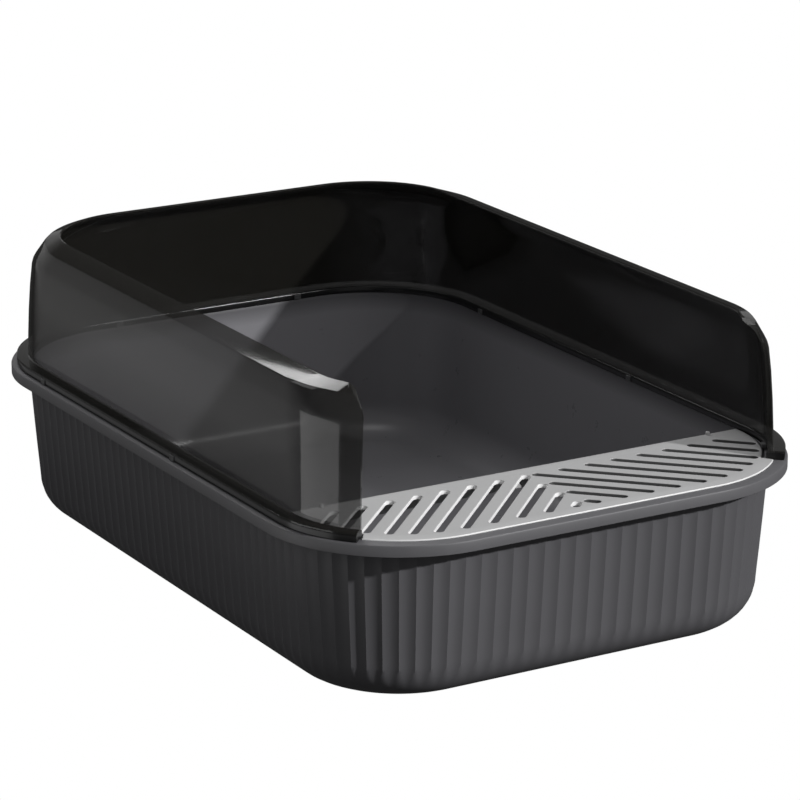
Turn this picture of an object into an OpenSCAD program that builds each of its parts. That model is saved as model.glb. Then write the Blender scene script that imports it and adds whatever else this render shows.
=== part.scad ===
// Open-top cat litter box: a deep tray, a slotted step plate across its front, and a
// smoked U-shaped splash hood that stands on a black base band clipped to the tray's rim.
// Origin: middle of the tray's underside. Front is -Y, +Z is up.

/* [Tray] */
// outside width over the rim
tray_w = 400; // [340:1:460]
// outside length over the rim
tray_l = 580; // [500:1:660]
// height of the rim's top
tray_h = 120; // [100:1:150]
// plan radius of the rim's outer corners
corner_r = 102; // [80:1:120]
// wall thickness
wall_t = 3; // [2:0.1:4]
// floor thickness
floor_t = 4; // [3:0.1:6]
// height of the rim's turned-down skirt
skirt_h = 8; // [5:0.5:14]
// thickness of the skirt
skirt_t = 2.5; // [1.5:0.1:4]
// inset of the wall's outside from the rim's outer edge, under the rim
wall_top_in = 13; // [9:0.1:16]
// inset of the wall's outside from the rim's outer edge, where the bottom round starts
wall_low_in = 19.6; // [15:0.1:26]
// radius of the round between wall and floor, outside
bottom_r = 30; // [15:1:40]
// bevel on the rim's outer top edge
rim_bevel = 1.2; // [0.5:0.1:3]

/* [Step plate] */
// inset of the plate's front edge from the rim's outer edge
plate_in = 9; // [7:0.1:14]
// inset of the plate's ends where they run beside the hood
plate_side_in = 19; // [18:0.1:24]
// distance from the front of the rim to the plate's inner edge
plate_reach = 106; // [80:1:130]
// plate thickness
plate_t = 3; // [2:0.1:5]
// how far the plate's top stands above the rim
plate_proud = 1; // [0:0.1:2]
// slot width
slot_w = 5; // [3:0.1:7]
// spacing of the slots along the plate
slot_pitch = 21.4; // [16:0.1:28]
// distance from the plate's middle to the first slot's end
slot_mid = 4.4; // [3:0.1:8]
// margin from the plate's inner edge to the slots
slot_back = 16; // [8:0.5:24]
// margin from the plate's front edge to the slots
slot_front = 13; // [8:0.5:24]
// play between the plate and its pocket in the rim
plate_play = 0.4; // [0.2:0.1:1]
// depth of the turned-down lip at the inner edge, below the plate's top
lip_deep = 13; // [6:0.5:20]
// thickness of the lip
lip_t = 2.2; // [1.5:0.1:3]
// half the length of the lip
lip_x = 168; // [120:1:172]
// height of the grip nubs at the inner edge
nub_h = 2.5; // [1:0.1:4]
// distance of each grip nub from the middle
nub_x = 156; // [120:1:165]

/* [Hood] */
// height of the hood's top edge
hood_top = 218.7; // [180:0.1:260]
// height of the crease where the wall turns in
hood_crease = 199; // [160:0.5:230]
// height of the ridge between the shoulder and the top lip
hood_ridge = 212.5; // [180:0.5:250]
// thickness of the hood's wall
hood_t = 3; // [2:0.1:4]
// inset of the wall's outside at its foot
hood_foot_in = 12.5; // [10:0.1:16]
// inset of the wall's outside at the crease
hood_crease_in = 16; // [13:0.1:22]
// inset of the ridge
hood_ridge_in = 21; // [17:0.1:28]
// inset of the top edge
hood_top_in = 37; // [28:0.1:50]
// thickness of the hood's foot flange
foot_t = 1.4; // [1:0.1:3]
// angle the hood wraps round each front corner
hood_wrap = 44; // [20:1:80]
// radius of the rounded top corner of each end
end_r = 24; // [10:1:36]

/* [Base band] */
// height of the band
band_h = 5; // [3:0.1:10]
// inset of the band's outer face from the rim's outer edge
band_out = 4.3; // [2:0.1:8]
// inset of the band's inner face
band_in = 17; // [15:0.1:18]
// width of each snap clip along the band
clip_w = 6; // [4:0.5:12]
// height of each snap clip
clip_h = 4; // [2:0.1:4.5]
// how far each clip stands out of the band
clip_proud = 0.8; // [0.3:0.1:1.2]
// distance of the rear side clips behind the middle
clip_rear_y = 163; // [120:1:185]
// distance of the front side clips in front of the middle
clip_front_y = 46; // [0:1:120]
// distance of the back clips from the middle
clip_back_x = 79; // [20:1:95]
// angle of the corner clips round the front corners
clip_angle = 28; // [10:1:38]

/* [Hidden] */
half_w = tray_w / 2;
half_l = tray_l / 2;
core_x = half_w - corner_r;
core_y = half_l - corner_r;
plate_z = tray_h + plate_proud - plate_t;
plate_back_y = plate_reach - half_l;
slot_r = corner_r - plate_in - slot_front - 1;
band_z = tray_h + band_h;
eps = 0.01;
far = 400;
arc_steps = 6;
end_cut = 0.6;
$fn = 96;

// profiles are lists of [inset from the rim's outer edge, height]
function arc_points(c_in, c_z, r) =
    [for (i = [0 : arc_steps]) let (a = 90 * i / arc_steps) [c_in - r * cos(a), c_z - r * sin(a)]];
function reversed(pts) = [for (i = [len(pts) - 1 : -1 : 0]) pts[i]];

round_in = wall_low_in + bottom_r;
inner_r = bottom_r - wall_t;
skirt_z = tray_h - skirt_h;
shelf_z = tray_h - wall_t;
pan_profile = concat(
    [[skirt_t, shelf_z], [skirt_t, skirt_z], [0, skirt_z], [0, tray_h - rim_bevel],
     [rim_bevel, tray_h], [wall_top_in + wall_t, tray_h]],
    arc_points(round_in, floor_t + inner_r, inner_r),
    [[round_in, 0]],
    reversed(arc_points(round_in, bottom_r, bottom_r)),
    [[wall_top_in, shelf_z]]);
hood_profile = [
    [band_out, band_z], [band_out, band_z + foot_t], [hood_foot_in, band_z + foot_t],
    [hood_crease_in, hood_crease], [hood_ridge_in, hood_ridge], [hood_top_in, hood_top],
    [hood_top_in + 1, hood_top - hood_t], [hood_ridge_in + 2, hood_ridge - hood_t],
    [hood_crease_in + hood_t, hood_crease], [hood_foot_in + hood_t, band_z]];
band_profile = [[band_out, tray_h], [band_out, band_z], [band_in, band_z], [band_in, tray_h]];

// one straight run along Y on the +X side
module side_run(pts, len) {
    translate([0, len / 2, 0]) rotate([90, 0, 0]) linear_extrude(len)
        polygon([for (p = pts) [half_w - p[0], p[1]]]);
}

// one straight run along X on the +Y side
module back_run(pts, len) {
    translate([-len / 2, 0, 0]) rotate([90, 0, 90]) linear_extrude(len)
        polygon([for (p = pts) [half_l - p[0], p[1]]]);
}

// one corner turned about the core point at sx, sy, starting at angle from
module corner_run(pts, sx, sy, from, turn) {
    translate([sx * core_x, sy * core_y, 0]) rotate([0, 0, from])
        rotate_extrude(angle = turn) polygon([for (p = pts) [corner_r - p[0], p[1]]]);
}

module rim_outline(inset) {
    r = corner_r - inset;
    square([2 * core_x, tray_l - 2 * inset], center = true);
    square([tray_w - 2 * inset, 2 * core_y], center = true);
    for (sx = [-1, 1], sy = [-1, 1]) translate([sx * core_x, sy * core_y]) circle(r);
}

// the part of the plan that the hood stands over at one front corner
module hood_side(sx, gap) {
    a = hood_wrap + gap;
    scale([sx, 1]) polygon([[core_x, -core_y], [core_x + far * cos(a), -core_y - far * sin(a)],
        [core_x + far, -core_y], [core_x + far, 0], [core_x, 0]]);
}

module plate_outline(grow) {
    difference() {
        intersection() {
            rim_outline(plate_in - grow);
            translate([-half_w, -half_l]) square([tray_w, plate_reach]);
        }
        for (sx = [-1, 1]) difference() {
            hood_side(sx, 2 - grow);
            rim_outline(plate_side_in - grow);
        }
    }
}

module litter_pan() {
    color([0.25, 0.25, 0.26]) difference() {
        union() {
            for (a = [0, 180]) rotate(a) {
                side_run(pan_profile, 2 * core_y);
                back_run(pan_profile, 2 * core_x);
            }
            corner_run(pan_profile, 1, 1, 0, 90);
            corner_run(pan_profile, -1, 1, 90, 90);
            corner_run(pan_profile, -1, -1, 180, 90);
            corner_run(pan_profile, 1, -1, 270, 90);
            linear_extrude(floor_t) rim_outline(round_in - eps);
            // ledges that carry the plate's ends
            for (sx = [-1, 1]) translate([sx * (half_w - plate_side_in), -core_y, plate_z - 2])
                cube([10, 24, 4], center = true);
        }
        // pocket in the rim for the step plate
        translate([0, 0, plate_z]) linear_extrude(far) plate_outline(plate_play);
    }
}

// how far a slot runs from its inner end [x, y] before it meets the front margin or corner
function slot_run(x, y) = let (
    ux = x - core_x, uy = y + core_y,
    b = ux - uy, q = b * b - 2 * (ux * ux + uy * uy - slot_r * slot_r),
    to_corner = (-b + sqrt(max(q, 0))) / 2,
    to_front = y + half_l - plate_in - slot_front)
    x + to_front <= core_x ? to_front : min(to_corner, to_front);

module slot(x, y) {
    run = slot_run(x, y);
    translate([x, y]) rotate(-45) {
        translate([0, -slot_w / 2]) square([run * sqrt(2), slot_w]);
        circle(slot_w / 2);
        translate([run * sqrt(2), 0]) circle(slot_w / 2);
    }
}

module step_plate() {
    top_y = plate_back_y - slot_back;
    color([0.72, 0.72, 0.72]) {
        translate([0, 0, plate_z]) linear_extrude(plate_t) difference() {
            plate_outline(0);
            for (sx = [-1, 1]) scale([sx, 1]) {
                for (k = [0 : 7]) slot(slot_mid + slot_pitch * k, top_y);
                for (j = [1 : 3]) slot(slot_mid, top_y - slot_pitch * j);
            }
        }
        translate([-lip_x, plate_back_y - lip_t, plate_z + plate_t - lip_deep])
            cube([2 * lip_x, lip_t, lip_deep - plate_t / 2]);
        for (sx = [-1, 1]) translate([sx * nub_x, plate_back_y - 2, plate_z + plate_t])
            cylinder(h = nub_h, r = 1.6);
    }
}

// the U-shaped run of the hood and its band: both sides, the back, part of the front corners
module u_run(pts) {
    difference() {
        union() {
            for (a = [0, 180]) rotate(a) side_run(pts, 2 * core_y);
            back_run(pts, 2 * core_x);
            corner_run(pts, 1, 1, 0, 90);
            corner_run(pts, -1, 1, 90, 90);
            corner_run(pts, -1, -1, 180, 90);
            corner_run(pts, 1, -1, 270, 90);
        }
        translate([core_x, -core_y, 0]) rotate(-hood_wrap) translate([0, -far, 0]) cube(far);
        translate([-core_x, -core_y, 0]) rotate(180 + hood_wrap) cube(far);
    }
}

// rounds off the top corner of one end; side is 1 at the right front corner, -1 at the left
module end_round(side) {
    c = end_r - end_cut;
    translate([side * core_x, -core_y, 0])
        rotate([0, 0, side == 1 ? -hood_wrap : 180 + hood_wrap])
        translate([20, 0, 0]) rotate([90, 0, 90]) linear_extrude(90) difference() {
            translate([side == 1 ? -1 : -c, hood_top - c]) square([c + 1, end_r + 5]);
            translate([side * c, hood_top - c]) circle(end_r);
        }
}

module hood_shell() {
    color([0.08, 0.08, 0.08, 0.75]) difference() {
        u_run(hood_profile);
        end_round(1);
        end_round(-1);
    }
}

// a clip block lying across the band, length along +X outwards
module clip_block() {
    translate([corner_r - band_in - clip_proud, -clip_w / 2, tray_h])
        cube([band_in - band_out + 2 * clip_proud, clip_w, clip_h]);
}

module clip_side(sx, y) {
    translate([sx * core_x, y, 0]) rotate(sx == 1 ? 0 : 180) clip_block();
}

module clip_back(x) {
    translate([x, core_y, 0]) rotate(90) clip_block();
}

module clip_corner(sx) {
    translate([sx * core_x, -core_y, 0]) rotate(sx == 1 ? -clip_angle : 180 + clip_angle) clip_block();
}

module clip_left_rear() { color([0.2, 0.2, 0.2]) clip_side(-1, clip_rear_y); }
module clip_left_side() { color([0.2, 0.2, 0.2]) clip_side(-1, -clip_front_y); }
module clip_left_corner() { color([0.2, 0.2, 0.2]) clip_corner(-1); }
module clip_right_rear() { color([0.2, 0.2, 0.2]) clip_side(1, clip_rear_y); }
module clip_right_side() { color([0.2, 0.2, 0.2]) clip_side(1, -clip_front_y); }
module clip_right_corner() { color([0.2, 0.2, 0.2]) clip_corner(1); }
module clip_back_left() { color([0.2, 0.2, 0.2]) clip_back(-clip_back_x); }
module clip_back_right() { color([0.2, 0.2, 0.2]) clip_back(clip_back_x); }

module hood_base_band() {
    color([0.03, 0.03, 0.03]) difference() {
        u_run(band_profile);
        for (sx = [-1, 1]) {
            clip_side(sx, clip_rear_y);
            clip_side(sx, -clip_front_y);
            clip_corner(sx);
            clip_back(sx * clip_back_x);
        }
    }
}

litter_pan();
step_plate();
hood_shell();
hood_base_band();
clip_left_rear();
clip_left_side();
clip_left_corner();
clip_right_rear();
clip_right_side();
clip_right_corner();
clip_back_left();
clip_back_right();
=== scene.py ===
import bmesh
import bpy
import math

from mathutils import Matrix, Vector


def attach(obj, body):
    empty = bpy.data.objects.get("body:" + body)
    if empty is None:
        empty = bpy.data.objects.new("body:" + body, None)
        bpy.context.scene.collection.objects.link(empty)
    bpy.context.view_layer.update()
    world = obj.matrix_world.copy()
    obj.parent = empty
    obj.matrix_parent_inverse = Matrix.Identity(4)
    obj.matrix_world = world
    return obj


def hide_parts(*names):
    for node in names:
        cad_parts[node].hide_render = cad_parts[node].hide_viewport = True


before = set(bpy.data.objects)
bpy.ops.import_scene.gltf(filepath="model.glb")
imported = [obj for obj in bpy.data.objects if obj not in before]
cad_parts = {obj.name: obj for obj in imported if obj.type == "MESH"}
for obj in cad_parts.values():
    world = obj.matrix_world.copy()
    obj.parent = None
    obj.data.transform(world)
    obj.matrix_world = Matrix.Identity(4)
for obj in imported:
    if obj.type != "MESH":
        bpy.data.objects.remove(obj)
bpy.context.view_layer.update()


# ---------------------------------------------------------------------------------------
# Litter tray. One injection moulding in dark grey polypropylene: a deep tub with a
# turned-down rim, shallow scallops all round the outside and a smoother inside. The rim
# has a 2 mm deep pocket across the front for the step plate.
tray_w, tray_l, tray_h = 0.400, 0.580, 0.120
corner_r = 0.102
core_x, core_y = tray_w / 2 - corner_r, tray_l / 2 - corner_r
floor_in = 0.0536
rim_from = 0.1145
wall_in = 0.0125
scallops_front, scallops_side, scallops_corner, scallop_cuts = 16, 32, 12, 6
scallop_deep = 0.0013
pocket_in, pocket_deep, pocket_turn = 0.0089, 0.002, 45
ledge_x, ledge_z, ledge_size = 0.181, 0.116, (0.010, 0.024, 0.004)


def only(obj, test, kind="VERT"):
    """Selects the verts, edges or faces of the edited mesh that pass the test, and no others."""
    bpy.ops.mesh.select_mode(type="VERT")
    bpy.ops.mesh.select_all(action="DESELECT")
    bpy.ops.mesh.select_mode(type=kind)
    mesh = bmesh.from_edit_mesh(obj.data)
    for item in {"VERT": mesh.verts, "EDGE": mesh.edges, "FACE": mesh.faces}[kind]:
        if test(item):
            item.select_set(True)
    mesh.select_flush_mode()
    bmesh.update_edit_mesh(obj.data)


def section_chain(name, start, steps):
    """One point pulled out, step by step, into a wall's section, left in edit mode. The section
    stands at the left end of the front run; a step is (inwards, upwards)."""
    bpy.ops.object.select_all(action="DESELECT")
    bpy.ops.mesh.primitive_plane_add(size=0.001, location=(-core_x, start[0] - tray_l / 2, start[1]))
    made = bpy.context.object
    made.name = name
    bpy.ops.object.transform_apply()
    bpy.ops.object.mode_set(mode="EDIT")
    bpy.ops.mesh.merge(type="CENTER")
    for inwards, upwards in steps:
        bpy.ops.mesh.extrude_region_move(TRANSFORM_OT_translate={"value": (0, inwards, upwards)})
    bpy.ops.mesh.select_all(action="SELECT")
    return made


def run_round(front_cuts, side_cuts, turn_cuts):
    """Runs the chosen section once round the rim's plan and closes it on itself."""
    quarter = math.pi / 2
    for sign in (1, -1):
        x, y = sign * core_x, sign * core_y
        bpy.ops.mesh.extrude_repeat(steps=front_cuts, offset=(2 * x / front_cuts, 0, 0))
        bpy.ops.mesh.spin(steps=turn_cuts, angle=-quarter, center=(x, -y, 0), axis=(0, 0, 1))
        bpy.ops.mesh.extrude_repeat(steps=side_cuts, offset=(0, 2 * y / side_cuts, 0))
        bpy.ops.mesh.spin(steps=turn_cuts, angle=-quarter, center=(x, y, 0), axis=(0, 0, 1))
    bpy.ops.mesh.select_all(action="SELECT")
    bpy.ops.mesh.remove_doubles(threshold=0.00002)


def arc_steps(r, cuts, first, last):
    """Steps along a round of the section between two angles, 0 being inwards and 90 up."""
    turn = [math.radians(first + (last - first) * i / cuts) for i in range(cuts + 1)]
    return [(r * (math.cos(b) - math.cos(a)), r * (math.sin(b) - math.sin(a)))
            for a, b in zip(turn, turn[1:])]


def turn_at(co):
    """Degrees round a front corner from the side towards the front: 0 beside, 90 in front."""
    return math.degrees(math.atan2(-co.y - core_y, abs(co.x) - core_x))


def inset_at(co):
    """How far a place lies inwards from the rim's outer edge."""
    over_x, over_y = abs(co.x) - core_x, abs(co.y) - core_y
    if over_x > 0 and over_y > 0:
        return corner_r - math.hypot(over_x, over_y)
    return min(tray_w / 2 - abs(co.x), tray_l / 2 - abs(co.y))


# the section from the floor's underside up the outer wall, over the rim and down the inner wall
outside = [(-0.004, 0)] + arc_steps(0.030, 13, 270, 180)
outside += [(-0.0007, 0.009), (-0.0011, 0.013), (-0.0017, 0.022), (-0.0017, 0.024), (-0.0010, 0.015),
            (-0.0004, 0.004)]
rim = [(-0.0105, 0), (0, -0.005), (-0.0003, -0.0003), (-0.0019, 0), (-0.0003, 0.0003), (0, 0.0065)]
rim += [(0.0005, 0.0010), (0.0010, 0.0005), (0.0073, 0), (0.00015, 0), (0.0065, 0), (0.0006, -0.0003),
        (0.0003, -0.0010)]
inside = [(0.0001, -0.0017), (0.00087, -0.012), (0.00144, -0.02), (0.00187, -0.026), (0.00202, -0.028)]
inside += arc_steps(0.027, 10, 180, 270) + [(0.004, 0)]
tray = section_chain("tray", (floor_in, 0), outside + rim + inside)
run_round(scallops_front * scallop_cuts, scallops_side * scallop_cuts, scallops_corner * scallop_cuts)

# the two faces of the floor
only(tray, lambda e: e.is_boundary and e.verts[0].co.z < 0.001, "EDGE")
bpy.ops.mesh.edge_face_add()
only(tray, lambda e: e.is_boundary, "EDGE")
bpy.ops.mesh.edge_face_add()
bpy.ops.mesh.select_all(action="SELECT")
bpy.ops.mesh.normals_make_consistent(inside=False)


def scallop_place(co):
    """Which cut of its scallop a place on the outer wall stands at, 0 being the ridge."""
    over_x, over_y = abs(co.x) - core_x, abs(co.y) - core_y
    if over_x > 0 and over_y > 0:
        along = math.atan2(over_y, over_x) / (math.pi / 2) * scallops_corner
    elif over_y > over_x:
        along = (co.x + core_x) / (2 * core_x) * scallops_front
    else:
        along = (co.y + core_y) / (2 * core_y) * scallops_side
    return round(along * scallop_cuts) % scallop_cuts


def on_outer_wall(v):
    return v.normal.x * v.co.x + v.normal.y * v.co.y > 0 and inset_at(v.co) > wall_in


# the scallops: each row of the outer wall is pressed in between its ridges, and runs out
# into a rounded end on the bottom round. A row is its heights and the share of depth it loses.
rows = [(0.0255, rim_from, 0.0), (0.022, 0.0255, 0.12), (0.0185, 0.022, 0.38), (0.0155, 0.0185, 0.66),
        (0.0125, 0.0155, 0.88)]
for low, high, lost in rows:
    for places, share in (((1, 5), 5 / 9), ((2, 4), 8 / 9), ((3,), 1)):
        if share > lost:
            only(tray, lambda v: low < v.co.z < high and on_outer_wall(v) and scallop_place(v.co) in places)
            bpy.ops.transform.shrink_fatten(value=-scallop_deep * (share - lost))

# the pocket across the front for the plate
only(tray, lambda v: v.co.z > rim_from and inset_at(v.co) > pocket_in and turn_at(v.co) > pocket_turn
     and not on_outer_wall(v))
bpy.ops.transform.translate(value=(0, 0, -pocket_deep))

# ledges on the inner wall that carry the plate's ends
for side in (-1, 1):
    bpy.ops.mesh.select_all(action="DESELECT")
    ledge_at = (side * ledge_x, -core_y, ledge_z)
    bpy.ops.mesh.primitive_cube_add(size=1, location=ledge_at)
    bpy.ops.transform.resize(value=ledge_size, center_override=ledge_at)
    bpy.ops.mesh.bevel(offset=0.0007, segments=2, affect="EDGES")
bpy.ops.object.mode_set(mode="OBJECT")
bpy.ops.object.shade_smooth_by_angle(angle=math.radians(27))

# which points belong to the smoother inside, whose colour is also painted lighter as painted fill light
inside_gloss_and_painted_fill_mask = tray.data.attributes.new("inside", "FLOAT", "POINT")
for v in tray.data.vertices:
    faces_in = v.normal.x * v.co.x + v.normal.y * v.co.y < -0.001 * abs(v.normal.z) or v.normal.z > 0.5
    below_rim = 0.0035 < v.co.z < 0.110 and inset_at(v.co) > 0.0155
    inside_gloss_and_painted_fill_mask.data[v.index].value = 1.0 if below_rim and faces_in else 0.0


class Amount:
    """A number that varies over a finish. Sums written on it become Math nodes."""
    def __init__(self, finish, socket):
        self.finish, self.socket = finish, socket

    def sum(self, how, first, second):
        return self.finish.node("ShaderNodeMath", {"operation": how}, {0: first, 1: second})

    def __add__(self, other): return self.sum("ADD", self, other)
    __radd__ = __add__
    def __sub__(self, other): return self.sum("SUBTRACT", self, other)
    def __rsub__(self, other): return self.sum("SUBTRACT", other, self)
    def __mul__(self, other): return self.sum("MULTIPLY", self, other)
    __rmul__ = __mul__


class Nodes:
    """The nodes of one material or of the studio's surround."""
    def __init__(self, tree):
        self.tree = tree

    def feed(self, socket, value):
        if isinstance(value, Amount):
            self.tree.links.new(value.socket, socket)
        else:
            socket.default_value = value

    def node(self, kind, settings={}, sockets={}, out=0):
        made = self.tree.nodes.new(kind)
        for name, value in settings.items():
            if name == "stops":
                made.color_ramp.elements[0].position, made.color_ramp.elements[1].position = value
            else:
                setattr(made, name, value)
        for name, value in sockets.items():
            self.feed(made.inputs[name], value)
        return Amount(self, made.outputs[out])


class Finish(Nodes):
    """A material with one Principled shader, and the nodes that feed it."""
    def __init__(self, name, **plain):
        self.material = bpy.data.materials.new(name)
        self.material.use_nodes = True
        super().__init__(self.material.node_tree)
        self.shader = self.tree.nodes["Principled BSDF"]
        for socket, value in plain.items():
            self.shader.inputs[socket.replace("_", " ")].default_value = value

    def noise(self, scale, detail=3.0, rough=0.5, stretch=(1, 1, 1)):
        place = self.node("ShaderNodeTexCoord", out="Object")
        place = self.node("ShaderNodeMapping", {}, {"Vector": place, "Scale": stretch})
        return self.node("ShaderNodeTexNoise", {},
                         {"Vector": place, "Scale": scale, "Detail": detail, "Roughness": rough})

    def between(self, share, first, second):
        return self.node("ShaderNodeMix", {"data_type": "RGBA"}, {0: share, 6: first, 7: second}, out=2)

    def edges(self, low, high):
        """1 on sharp outward edges and 0 on the flat."""
        bend = self.node("ShaderNodeNewGeometry", out="Pointiness")
        return self.node("ShaderNodeValToRGB", {"stops": (low, high)}, {"Fac": bend})

    def surface(self, bumps, **varying):
        for socket, value in varying.items():
            self.feed(self.shader.inputs[socket.replace("_", " ")], value)
        normal = None
        for height, strength, distance in bumps:
            sockets = {"Height": height, "Strength": strength, "Distance": distance}
            if normal:
                sockets["Normal"] = normal
            normal = self.node("ShaderNodeBump", {}, sockets)
        self.feed(self.shader.inputs["Normal"], normal)


grey = Finish("tray_polypropylene", IOR=1.49, Specular_IOR_Level=0.35)
inside_gloss_and_painted_fill = grey.node("ShaderNodeAttribute", {"attribute_name": "inside"}, out="Fac")
grain, mottle, dust = grey.noise(820, 2.0), grey.noise(9, 4.0, 0.6), grey.noise(60, 5.0, 0.7)
worn = grey.edges(0.52, 0.60) * dust
tone = grey.between(mottle, (0.071, 0.070, 0.075, 1), (0.085, 0.084, 0.090, 1))
# painted fill light: the inside is painted a lighter grey than the outside, though it is the same plastic
tone = grey.between(inside_gloss_and_painted_fill * 0.62, tone, (0.211, 0.209, 0.222, 1))
tone = grey.between(worn * 0.5, tone, (0.16, 0.16, 0.163, 1))
grey.surface([(grain, 0.22, 0.00012)], Base_Color=tone,
             Roughness=0.44 + 0.10 * dust - inside_gloss_and_painted_fill * 0.20 + worn * 0.1)
tray.data.materials.append(grey.material)
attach(tray, "tray")
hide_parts("litter_pan")


# ---------------------------------------------------------------------------------------
# Step plate. One flat moulding in pale grey polypropylene that lies in the rim's pocket,
# with rounded slots in a chevron to wipe paws, a lip turned down at its inner edge, and
# two small nubs to lift it by.
plate_in, plate_side_in, plate_turn = 0.009, 0.018, 44.6
plate_t, plate_z = 0.003, tray_h + 0.001 - 0.003
plate_front, plate_back = plate_in - tray_l / 2, 0.106 - tray_l / 2
slot_w, slot_pitch, slot_mid, slot_top = 0.0066, 0.0214, 0.0044, plate_back - 0.016
slot_round, slot_margin, slot_corner_margin = 0.0005, 0.013, 0.014
tool_under = 0.002
plate_lip_z, plate_lip_size = 0.11375, (0.336, 0.0022, 0.0115)
nub_x, nub_z, nub_r, nub_h = 0.156, 0.12175, 0.0016, 0.0035

bpy.ops.object.select_all(action="DESELECT")
plate_middle = (0, (plate_front + plate_back) / 2, plate_z)
bpy.ops.mesh.primitive_plane_add(size=1, location=plate_middle)
plate = bpy.context.object
plate.name = "plate"
bpy.ops.object.transform_apply()
bpy.ops.object.mode_set(mode="EDIT")
bpy.ops.transform.resize(value=(tray_w - 2 * plate_in, plate_back - plate_front, 1),
                         center_override=plate_middle)
only(plate, lambda v: v.co.y < plate_middle[1])
bpy.ops.mesh.bevel(affect="VERTICES", offset=corner_r - plate_in, segments=90)
narrower = (corner_r - plate_side_in) / (corner_r - plate_in)
for side in (-1, 1):
    turn_middle = (side * core_x, -core_y, plate_z)
    only(plate, lambda v: v.co.x * side > 0 and turn_at(v.co) < plate_turn and v.co.y < 0.0001 - core_y)
    bpy.ops.transform.resize(value=(narrower, narrower, 1), center_override=turn_middle)
    only(plate, lambda v: v.co.x * side > 0 and v.co.y > plate_back - 0.001)
    bpy.ops.transform.resize(value=(narrower, 1, 1), center_override=turn_middle)
bpy.ops.mesh.select_all(action="SELECT")
bpy.ops.mesh.extrude_region_move(TRANSFORM_OT_translate={"value": (0, 0, plate_t)})
only(plate, lambda e: min(v.co.z for v in e.verts) > plate_z + 0.002, "EDGE")
bpy.ops.mesh.bevel(affect="EDGES", offset=0.0006, segments=3)
bpy.ops.mesh.select_all(action="SELECT")
bpy.ops.mesh.normals_make_consistent(inside=False)
bpy.ops.object.mode_set(mode="OBJECT")


def slot_length(x, y):
    """How far across a slot runs from its inner end to the front margin or the corner's."""
    from_x, from_y, reach = x - core_x, y + core_y, corner_r - plate_in - slot_corner_margin
    half = from_x - from_y
    to_corner = (math.sqrt(max(half * half - 2 * (from_x ** 2 + from_y ** 2 - reach ** 2), 0)) - half) / 2
    to_front = y - plate_front - slot_margin
    return to_front if x + to_front <= core_x else min(to_corner, to_front)


def slot_cutter(x, y, side):
    """A tool with a slot's outline, which flares at the plate's top to round the slot's edge."""
    length = slot_length(x, y) * math.sqrt(2)
    bpy.ops.object.select_all(action="DESELECT")
    bpy.ops.mesh.primitive_plane_add(size=slot_w)
    tool = bpy.context.object
    bpy.ops.object.mode_set(mode="EDIT")
    only(tool, lambda v: v.co.x > 0)
    bpy.ops.transform.translate(value=(length, 0, 0))
    bpy.ops.mesh.select_all(action="SELECT")
    bpy.ops.mesh.bevel(affect="VERTICES", offset=slot_w / 2, segments=8)
    bpy.ops.mesh.remove_doubles(threshold=0.00001)
    top, slot_l = plate_t + tool_under, length + slot_w
    flare = [(top - slot_round, 0)]
    for turn in (28, 52, 74):
        turn = math.radians(turn)
        flare.append((top - slot_round * (1 - math.sin(turn)), slot_round * (1 - math.cos(turn))))
    flare.append((top + 0.0003, slot_round * 1.5))
    height, wider = 0, 0
    for up, out in flare:
        bpy.ops.mesh.extrude_region_move(TRANSFORM_OT_translate={"value": (0, 0, up - height)})
        grow = ((slot_l + 2 * out) / (slot_l + 2 * wider), (slot_w + 2 * out) / (slot_w + 2 * wider), 1)
        bpy.ops.transform.resize(value=grow, center_override=(length / 2, 0, 0))
        height, wider = up, out
    bpy.ops.mesh.select_all(action="SELECT")
    bpy.ops.mesh.normals_make_consistent(inside=False)
    bpy.ops.object.mode_set(mode="OBJECT")
    tool.rotation_euler = (0, 0, math.radians(-45 if side > 0 else -135))
    tool.location = (side * x, y, plate_z - tool_under)
    return tool


def cut_away(piece, tools):
    """Cuts the tools' shape out of the piece and clears the tools away."""
    bpy.ops.object.select_all(action="DESELECT")
    for tool in tools:
        tool.select_set(True)
    bpy.context.view_layer.objects.active = tools[0]
    if len(tools) > 1:
        bpy.ops.object.join()
    bpy.ops.object.select_all(action="DESELECT")
    piece.select_set(True)
    bpy.context.view_layer.objects.active = piece
    bpy.ops.object.modifier_add(type="BOOLEAN")
    piece.modifiers[-1].object = tools[0]
    piece.modifiers[-1].operation = "DIFFERENCE"
    bpy.ops.object.modifier_apply(modifier=piece.modifiers[-1].name)
    bpy.ops.object.select_all(action="DESELECT")
    tools[0].select_set(True)
    bpy.ops.object.delete()
    piece.select_set(True)
    bpy.context.view_layer.objects.active = piece


slot_ends = [(slot_mid + slot_pitch * k, slot_top) for k in range(8)]
slot_ends += [(slot_mid, slot_top - slot_pitch * j) for j in (1, 2, 3)]
cut_away(plate, [slot_cutter(x, y, side) for side in (-1, 1) for x, y in slot_ends])

# the lip under the inner edge and the two nubs on it
bpy.ops.object.mode_set(mode="EDIT")
bpy.ops.mesh.select_all(action="DESELECT")
lip_middle = (0, plate_back - 0.0012, plate_lip_z)
bpy.ops.mesh.primitive_cube_add(size=1, location=lip_middle)
bpy.ops.transform.resize(value=plate_lip_size, center_override=lip_middle)
bpy.ops.mesh.bevel(offset=0.0006, segments=3, affect="EDGES")
for side in (-1, 1):
    bpy.ops.mesh.select_all(action="DESELECT")
    bpy.ops.mesh.primitive_cylinder_add(vertices=24, radius=nub_r, depth=nub_h,
                                        location=(side * nub_x, plate_back - 0.002, nub_z))
    only(plate, lambda f: f.normal.z > 0.9 and f.calc_center_median().z > nub_z + nub_h / 2 - 0.0005, "FACE")
    bpy.ops.mesh.bevel(affect="EDGES", offset=0.0007, segments=3)
bpy.ops.object.mode_set(mode="OBJECT")
bpy.ops.object.shade_smooth_by_angle(angle=math.radians(32))
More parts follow.
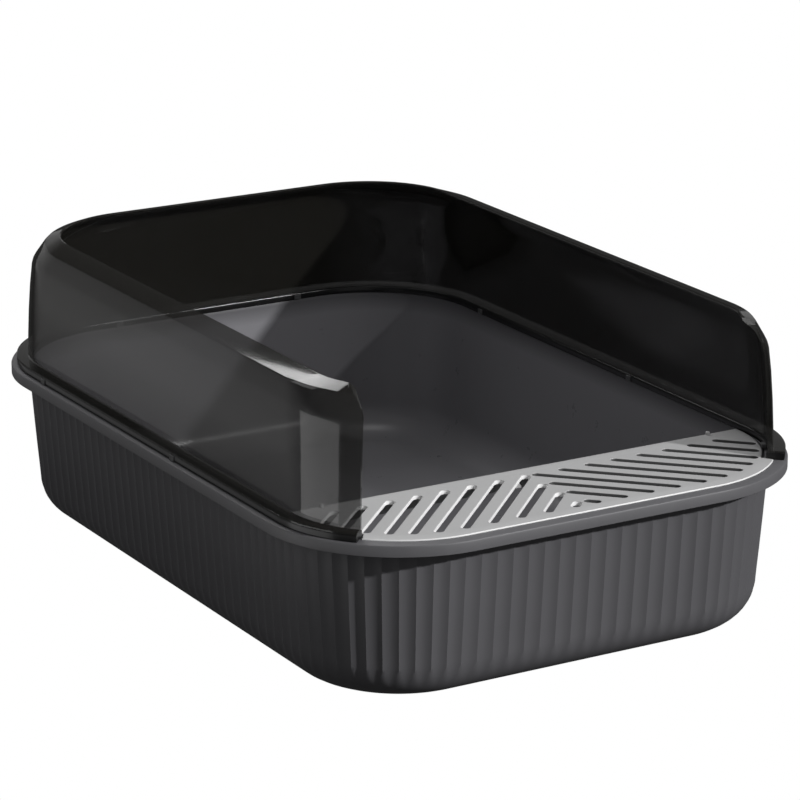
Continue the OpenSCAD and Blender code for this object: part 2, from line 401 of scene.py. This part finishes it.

# 1 on the walls of the right half's slots, which are painted dark as painted shade, and -1 on the walls of
# the left half's slots and near it on the plate's outer edge, which are painted pale as painted highlight
wall_finish = plate.data.attributes.new("wall_finish", "FLOAT", "POINT")
plate_top = plate_z + plate_t
for v in plate.data.vertices:
    below_round = v.co.z < plate_top - slot_round * 0.8
    if inset_at(v.co) < plate_in + 0.001 and v.co.z < plate_top - 0.0001:
        wall_finish.data[v.index].value = -0.8
    elif v.co.y < plate_back - 0.004 and inset_at(v.co) > plate_in + 0.010 and below_round:
        wall_finish.data[v.index].value = 1.0 if v.co.x > 0 else -1.0

pale = Finish("plate_polypropylene", IOR=1.49)
grain, mottle, dust = pale.noise(700, 2.0), pale.noise(11, 4.0, 0.6), pale.noise(70, 5.0, 0.7)
scuffs = pale.noise(240, 2.0, 0.5, stretch=(1, 0.06, 1))
worn = pale.edges(0.52, 0.62) * dust
slot_light_paint = pale.node("ShaderNodeAttribute", {"attribute_name": "wall_finish"}, out="Fac")
painted_slot_shade, painted_slot_highlight = slot_light_paint.sum("MAXIMUM", slot_light_paint, 0.0), slot_light_paint.sum("MAXIMUM", 0 - slot_light_paint, 0.0)
tone = pale.between(mottle, (0.32, 0.32, 0.322, 1), (0.37, 0.37, 0.372, 1))
tone = pale.between(worn * 0.5, tone, (0.50, 0.50, 0.50, 1))
# painted shade on the right half's slot walls, and painted highlight on the left half's slot walls and the
# outer edge
tone = pale.between(painted_slot_shade * 0.85, tone, (0.03, 0.03, 0.03, 1))
tone = pale.between(painted_slot_highlight * 0.9, tone, (0.78, 0.78, 0.78, 1))
pale.surface([(grain, 0.16, 0.0001), (scuffs, 0.03, 0.0001)], Base_Color=tone,
             Roughness=0.40 + 0.12 * dust - 0.05 * scuffs)
plate.data.materials.append(pale.material)
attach(plate, "plate")
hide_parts("step_plate")


# ---------------------------------------------------------------------------------------
# Base band. A glossy black moulded strip that follows the rim round the sides and the back
# and stops in the front corners. It lies on the rim and the hood stands on it.
band_out, band_in = 0.0043, 0.017
hood_turn = 44
front_tighter = 0.0063
band_section = [(0.0043, 0.1206), (0.0043, 0.1242), (0.0046, 0.1247), (0.0051, 0.1249), (0.0162, 0.1250),
                (0.0167, 0.1247), (0.0170, 0.1242), (0.0170, 0.1201), (0.0049, 0.1200)]


def plan_ring(inset, height, r_back, r_front):
    """One closed line of a U's section at its height, with its own corner radii."""
    bpy.ops.object.select_all(action="DESELECT")
    bpy.ops.mesh.primitive_plane_add(size=1, location=(0, 0, height))
    ring = bpy.context.object
    bpy.ops.object.transform_apply()
    bpy.ops.object.mode_set(mode="EDIT")
    bpy.ops.transform.resize(value=(tray_w - 2 * inset, tray_l - 2 * inset, 1),
                             center_override=(0, 0, height))
    only(ring, lambda v: v.co.y > 0)
    bpy.ops.mesh.bevel(affect="VERTICES", offset=r_back, segments=45)
    only(ring, lambda v: v.co.y < 0.0001 + inset - tray_l / 2)
    bpy.ops.mesh.bevel(affect="VERTICES", offset=r_front, segments=45)
    bpy.ops.mesh.select_all(action="SELECT")
    bpy.ops.mesh.delete(type="ONLY_FACE")
    bpy.ops.object.mode_set(mode="OBJECT")
    return ring


def stack_rings(name, lines):
    """Bridges the lines of a section into a closed run, left in edit mode."""
    run = plan_ring(*lines[0])
    run.name = name
    for last, line in zip(lines, lines[1:]):
        plan_ring(*line)
        run.select_set(True)
        bpy.context.view_layer.objects.active = run
        bpy.ops.object.join()
        bpy.ops.object.mode_set(mode="EDIT")
        only(run, lambda e: e.is_wire or e.is_boundary and abs(e.verts[0].co.z - last[1]) < 0.000005,
             "EDGE")
        bpy.ops.mesh.bridge_edge_loops()
        bpy.ops.object.mode_set(mode="OBJECT")
    bpy.ops.object.mode_set(mode="EDIT")
    only(run, lambda e: e.is_boundary, "EDGE")
    bpy.ops.mesh.bridge_edge_loops()
    return run


def open_front(piece):
    """Takes the front run off a closed U and caps its two ends."""
    turn = math.radians(hood_turn)
    bpy.ops.mesh.select_all(action="SELECT")
    bpy.ops.mesh.bisect(plane_co=(0, 0, 0), plane_no=(1, 0, 0))
    for side in (1, -1):
        only(piece, lambda f: f.calc_center_median().x * side > 0, "FACE")
        bpy.ops.mesh.bisect(plane_co=(side * core_x, -core_y, 0),
                            plane_no=(-side * math.sin(turn), -math.cos(turn), 0), clear_outer=True)
    only(piece, lambda e: e.is_boundary, "EDGE")
    bpy.ops.mesh.fill_holes(sides=0)
    bpy.ops.mesh.select_all(action="SELECT")
    bpy.ops.mesh.normals_make_consistent(inside=False)


band = stack_rings("band", [(inset, height, corner_r - inset, corner_r - inset - front_tighter)
                            for inset, height in band_section])
open_front(band)
bpy.ops.object.mode_set(mode="OBJECT")
bpy.ops.object.shade_smooth_by_angle(angle=math.radians(35))

black = Finish("band_gloss_black", IOR=1.49, Specular_IOR_Level=0.25)
ripple, dust = black.noise(35, 2.0), black.noise(160, 5.0, 0.7)
worn = black.edges(0.54, 0.64) * dust
tone = black.between(worn * 0.6, (0.003, 0.003, 0.0032, 1), (0.03, 0.03, 0.03, 1))
black.surface([(ripple, 0.05, 0.0003), (dust, 0.04, 0.00006)], Base_Color=tone,
              Roughness=0.14 + 0.14 * dust)
band.data.materials.append(black.material)
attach(band, "hood")
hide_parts("hood_base_band")


# ---------------------------------------------------------------------------------------
# Splash hood. A clear smoked moulding about 3 mm thick, open at the top and the front: a
# foot flange on the band, a leaning wall, a shoulder above a crease, and a lip turned in.
# Each end's top corner is rounded off.
hood_outer = [(0.0043, 0.1250), (0.0043, 0.1261), (0.0047, 0.1263), (0.0120, 0.1265), (0.0127, 0.1276),
              (0.0130, 0.1400), (0.0136, 0.1600), (0.0145, 0.1800), (0.0156, 0.1960), (0.0161, 0.1990),
              (0.0170, 0.2020), (0.0203, 0.2110), (0.0210, 0.2125), (0.0222, 0.2133), (0.0355, 0.2170),
              (0.0367, 0.2174), (0.0376, 0.2171), (0.0379, 0.2163)]
hood_inner = [(0.0372, 0.2150), (0.0234, 0.2104), (0.0223, 0.2088), (0.0201, 0.2030), (0.0192, 0.1991),
              (0.0187, 0.1961), (0.0175, 0.1801), (0.0166, 0.1601), (0.0157, 0.1280), (0.0155, 0.1251)]
# corner radii at the back against the inset: they grow towards the ridge, then tighten at the lip
hood_corners = [(0.0043, 0.0977), (0.0127, 0.0893), (0.0161, 0.0929), (0.0210, 0.0999), (0.0370, 0.0709),
                (0.0379, 0.0700)]
skin, lip_from = 0.0028, 0.212
end_round, end_reach, end_top = 0.026, 0.065, 0.2187


def hood_corner(inset):
    for (in_a, r_a), (in_b, r_b) in zip(hood_corners, hood_corners[1:]):
        if inset <= in_b:
            return r_a + (r_b - r_a) * (inset - in_a) / (in_b - in_a)
    return hood_corners[-1][1]


def hood_line(inset, height, inner):
    """A line of the section with its corner radii. The inner skin follows the outer one."""
    back = hood_corner(inset - skin) - skin if inner and height < lip_from else hood_corner(inset)
    tighter = front_tighter + 0.0075 * max(0, min(1, (inset - 0.0165) / 0.012))
    return inset, height, back, back - tighter


hood = stack_rings("hood", [hood_line(*line, False) for line in hood_outer]
                   + [hood_line(*line, True) for line in hood_inner])
open_front(hood)
bpy.ops.object.mode_set(mode="OBJECT")


def end_cutter(side):
    """A block with a round taken out of it, which rounds off the top corner of one end."""
    aim = math.radians(-hood_turn if side > 0 else 180 + hood_turn)
    away = end_round - 0.0006

    def place(out, back, height):
        back *= side
        return (side * core_x + out * math.cos(aim) - back * math.sin(aim),
                -core_y + out * math.sin(aim) + back * math.cos(aim), height)

    bpy.ops.object.select_all(action="DESELECT")
    block_at = place(end_reach, (away - 0.002) / 2, end_top + (0.006 - away) / 2)
    bpy.ops.mesh.primitive_cube_add(size=1, location=block_at, rotation=(0, 0, aim),
                                    scale=(0.09, away + 0.002, away + 0.006))
    block = bpy.context.object
    bpy.ops.mesh.primitive_cylinder_add(vertices=96, radius=end_round, depth=0.12,
                                        location=place(end_reach, away, end_top - away),
                                        rotation=(0, math.pi / 2, aim))
    cut_away(block, [bpy.context.object])
    return block


cut_away(hood, [end_cutter(1), end_cutter(-1)])
bpy.ops.object.shade_smooth_by_angle(angle=math.radians(20))

smoke = Finish("hood_smoked_clear", Alpha=0.62, IOR=1.49, Specular_IOR_Level=0.5)
ripple, dust = smoke.noise(7, 2.0), smoke.noise(120, 5.0, 0.75)
tone = smoke.between(dust, (0.0088, 0.0083, 0.0068, 1), (0.0140, 0.0135, 0.0118, 1))
smoke.surface([(ripple, 0.04, 0.002)], Base_Color=tone, Roughness=0.03 + 0.07 * dust)
hood.data.materials.append(smoke.material)
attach(hood, "hood")
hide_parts("hood_shell")


# ---------------------------------------------------------------------------------------
# Snap clips. Eight small dark grey nylon blocks let into the band, two on each side, one
# in each front corner and two at the back. They grip the rim and hold the hood on it.
clip_w, clip_h, clip_out = 0.006, 0.004, 0.0008
clip_from, clip_to = corner_r - band_in - clip_out, corner_r - band_out + clip_out
clip_middle = ((clip_from + clip_to) / 2, 0, tray_h + clip_h / 2)

bpy.ops.object.select_all(action="DESELECT")
bpy.ops.mesh.primitive_cube_add(size=1, location=clip_middle)
clip = bpy.context.object
bpy.ops.object.transform_apply()
bpy.ops.object.mode_set(mode="EDIT")
bpy.ops.transform.resize(value=(clip_to - clip_from, clip_w, clip_h), center_override=clip_middle)
bpy.ops.mesh.bevel(affect="EDGES", offset=0.0005, segments=3)
for face_side in (-1, 1):
    only(clip, lambda f: f.normal.x * face_side > 0.99, "FACE")
    bpy.ops.mesh.inset(thickness=0.0007, depth=-0.0003)
bpy.ops.object.mode_set(mode="OBJECT")
bpy.ops.object.shade_smooth_by_angle(angle=math.radians(40))

nylon = Finish("clip_nylon", IOR=1.53)
grain, dust = nylon.noise(1500, 2.0), nylon.noise(300, 4.0, 0.7)
tone = nylon.between(dust, (0.030, 0.030, 0.031, 1), (0.055, 0.055, 0.056, 1))
nylon.surface([(grain, 0.2, 0.00008)], Base_Color=tone, Roughness=0.35 + 0.2 * dust)
clip.data.materials.append(nylon.material)

clip_places = [("clip_left_rear", -core_x, 0.163, 180), ("clip_left_side", -core_x, -0.046, 180),
               ("clip_left_corner", -core_x, -core_y, 208), ("clip_right_rear", core_x, 0.163, 0),
               ("clip_right_side", core_x, -0.046, 0), ("clip_right_corner", core_x, -core_y, -28),
               ("clip_back_left", -0.079, core_y, 90), ("clip_back_right", 0.079, core_y, 90)]
for node, x, y, turned in clip_places:
    bpy.ops.object.select_all(action="DESELECT")
    clip.select_set(True)
    bpy.context.view_layer.objects.active = clip
    bpy.ops.object.duplicate(linked=False)
    copy = bpy.context.object
    copy.name = node.replace("clip_", "snap_")
    copy.rotation_euler = (0, 0, math.radians(turned))
    copy.location = (x, y, 0)
    bpy.ops.object.transform_apply()
    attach(copy, "hood")
    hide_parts(node)
bpy.ops.object.select_all(action="DESELECT")
clip.select_set(True)
bpy.ops.object.delete()


# ---------------------------------------------------------------------------------------
# Studio. A white paper sweep on the floor and a white surround, a key light from the front
# right at about 29 degrees, soft boxes overhead and high at the back, a card at the left and
# a soft fill behind. Seen through the smoked hood, the paper and the surround are dark.
def paper(nodes, shader_kind, outlet, lit):
    """White where the camera sees it, dark behind the hood, and the level `lit` for all other light."""
    seen = nodes.node("ShaderNodeLightPath", out="Is Camera Ray")
    depth = nodes.node("ShaderNodeLightPath", out="Transparent Depth")
    behind = depth.sum("MINIMUM", depth, 1.0)
    level = seen * (1 - behind) + (1 - seen) * lit
    shade = nodes.node(shader_kind, {}, {"Color": (1, 1, 1, 1), "Strength": level})
    nodes.tree.links.new(shade.socket, outlet)


def fade(nodes, value, low, high, first, last):
    """Runs from the first level to the last while the value runs from low to high."""
    ends = {"From Min": low, "From Max": high, "To Min": first, "To Max": last}
    return nodes.node("ShaderNodeMapRange", {}, {"Value": value, **ends})


bpy.ops.object.select_all(action="DESELECT")
bpy.ops.mesh.primitive_plane_add(size=14, location=(0, 0, -0.0004))
sweep = bpy.context.object
sweep.name = "sweep"
sweep_paper = Finish("sweep_paper")
sweep_paper.tree.nodes.remove(sweep_paper.shader)
spot = sweep_paper.node("ShaderNodeTexCoord", out="Object")
across = sweep_paper.node("ShaderNodeSeparateXYZ", {}, {0: spot}, out=0)
back = sweep_paper.node("ShaderNodeSeparateXYZ", {}, {0: spot}, out=1)
left_part = fade(sweep_paper, across, -0.50, -0.28, 1.0, 0.0)
lit = left_part * fade(sweep_paper, back, 0.05, 0.35, 0.16, 0.45) + 0.05
sweep_end = sweep_paper.tree.nodes["Material Output"].inputs["Surface"]
paper(sweep_paper, "ShaderNodeEmission", sweep_end, lit)
sweep.data.materials.append(sweep_paper.material)

room = bpy.data.worlds.new("room")
bpy.context.scene.world = room
room.use_nodes = True
surround = Nodes(room.node_tree)
way = surround.node("ShaderNodeTexCoord", out="Generated")
up = surround.node("ShaderNodeSeparateXYZ", {}, {0: way}, out=2)
away = surround.node("ShaderNodeSeparateXYZ", {}, {0: way}, out=1)
dim = fade(surround, up, 0.25, 0.40, 0.0, 0.75) * fade(surround, away, 0.2, 0.5, 0.0, 1.0)
lit = fade(surround, up, 0.08, 0.28, 0.45, 0.30) * (1 - dim)
room_end = room.node_tree.nodes["World Output"].inputs["Surface"]
paper(surround, "ShaderNodeBackground", room_end, lit)


def lamp(name, kind, energy, place, aim, **settings):
    """A light that stands at its place and points at its aim."""
    light = bpy.data.lights.new(name, kind)
    light.energy = energy
    for setting, value in settings.items():
        setattr(light, setting, value)
    holder = bpy.data.objects.new(name, light)
    bpy.context.scene.collection.objects.link(holder)
    holder.location = place
    way = Vector(aim) - Vector(place)
    holder.rotation_euler = way.to_track_quat("-Z", "Y").to_euler()
    return holder


lamp("key", "SUN", 3.8, (0.53, -0.85, 0.545), (0, 0, 0), angle=math.radians(2.5))
lamp("overhead", "AREA", 4.4, (0.05, 0.10, 1.70), (0, 0.05, 0), shape="RECTANGLE", size=0.7, size_y=0.7)
lamp("back_box", "AREA", 8.3, (0.035, 0.92, 1.30), (-0.13, -0.22, 0.218),
     shape="RECTANGLE", size=0.5, size_y=0.70)
card = lamp("left_card", "AREA", 0.22, (-0.42, -0.155, 0.115), (-0.10, -0.155, 0.115),
            shape="RECTANGLE", size=0.23, size_y=0.18)
card.visible_camera = card.visible_diffuse = False
rear = lamp("rear_fill", "AREA", 12.0, (-0.6, 2.2, 0.7), (0, 0, 0.1), shape="SQUARE", size=1.5)
rear.visible_camera = rear.visible_glossy = False

view = bpy.data.cameras.new("view")
view.lens, view.sensor_width = 162.9, 36
view.shift_x, view.shift_y = 0.0201, 0.0350
view.clip_end = 50
holder = bpy.data.objects.new("view", view)
bpy.context.scene.collection.objects.link(holder)
holder.location = (-1.26297, -2.17210, 0.89978)
holder.rotation_euler = (math.radians(72.34), 0, math.radians(-30.18))
bpy.context.scene.camera = holder
bpy.context.scene.view_settings.view_transform = "Standard"

bpy.context.view_layer.update()
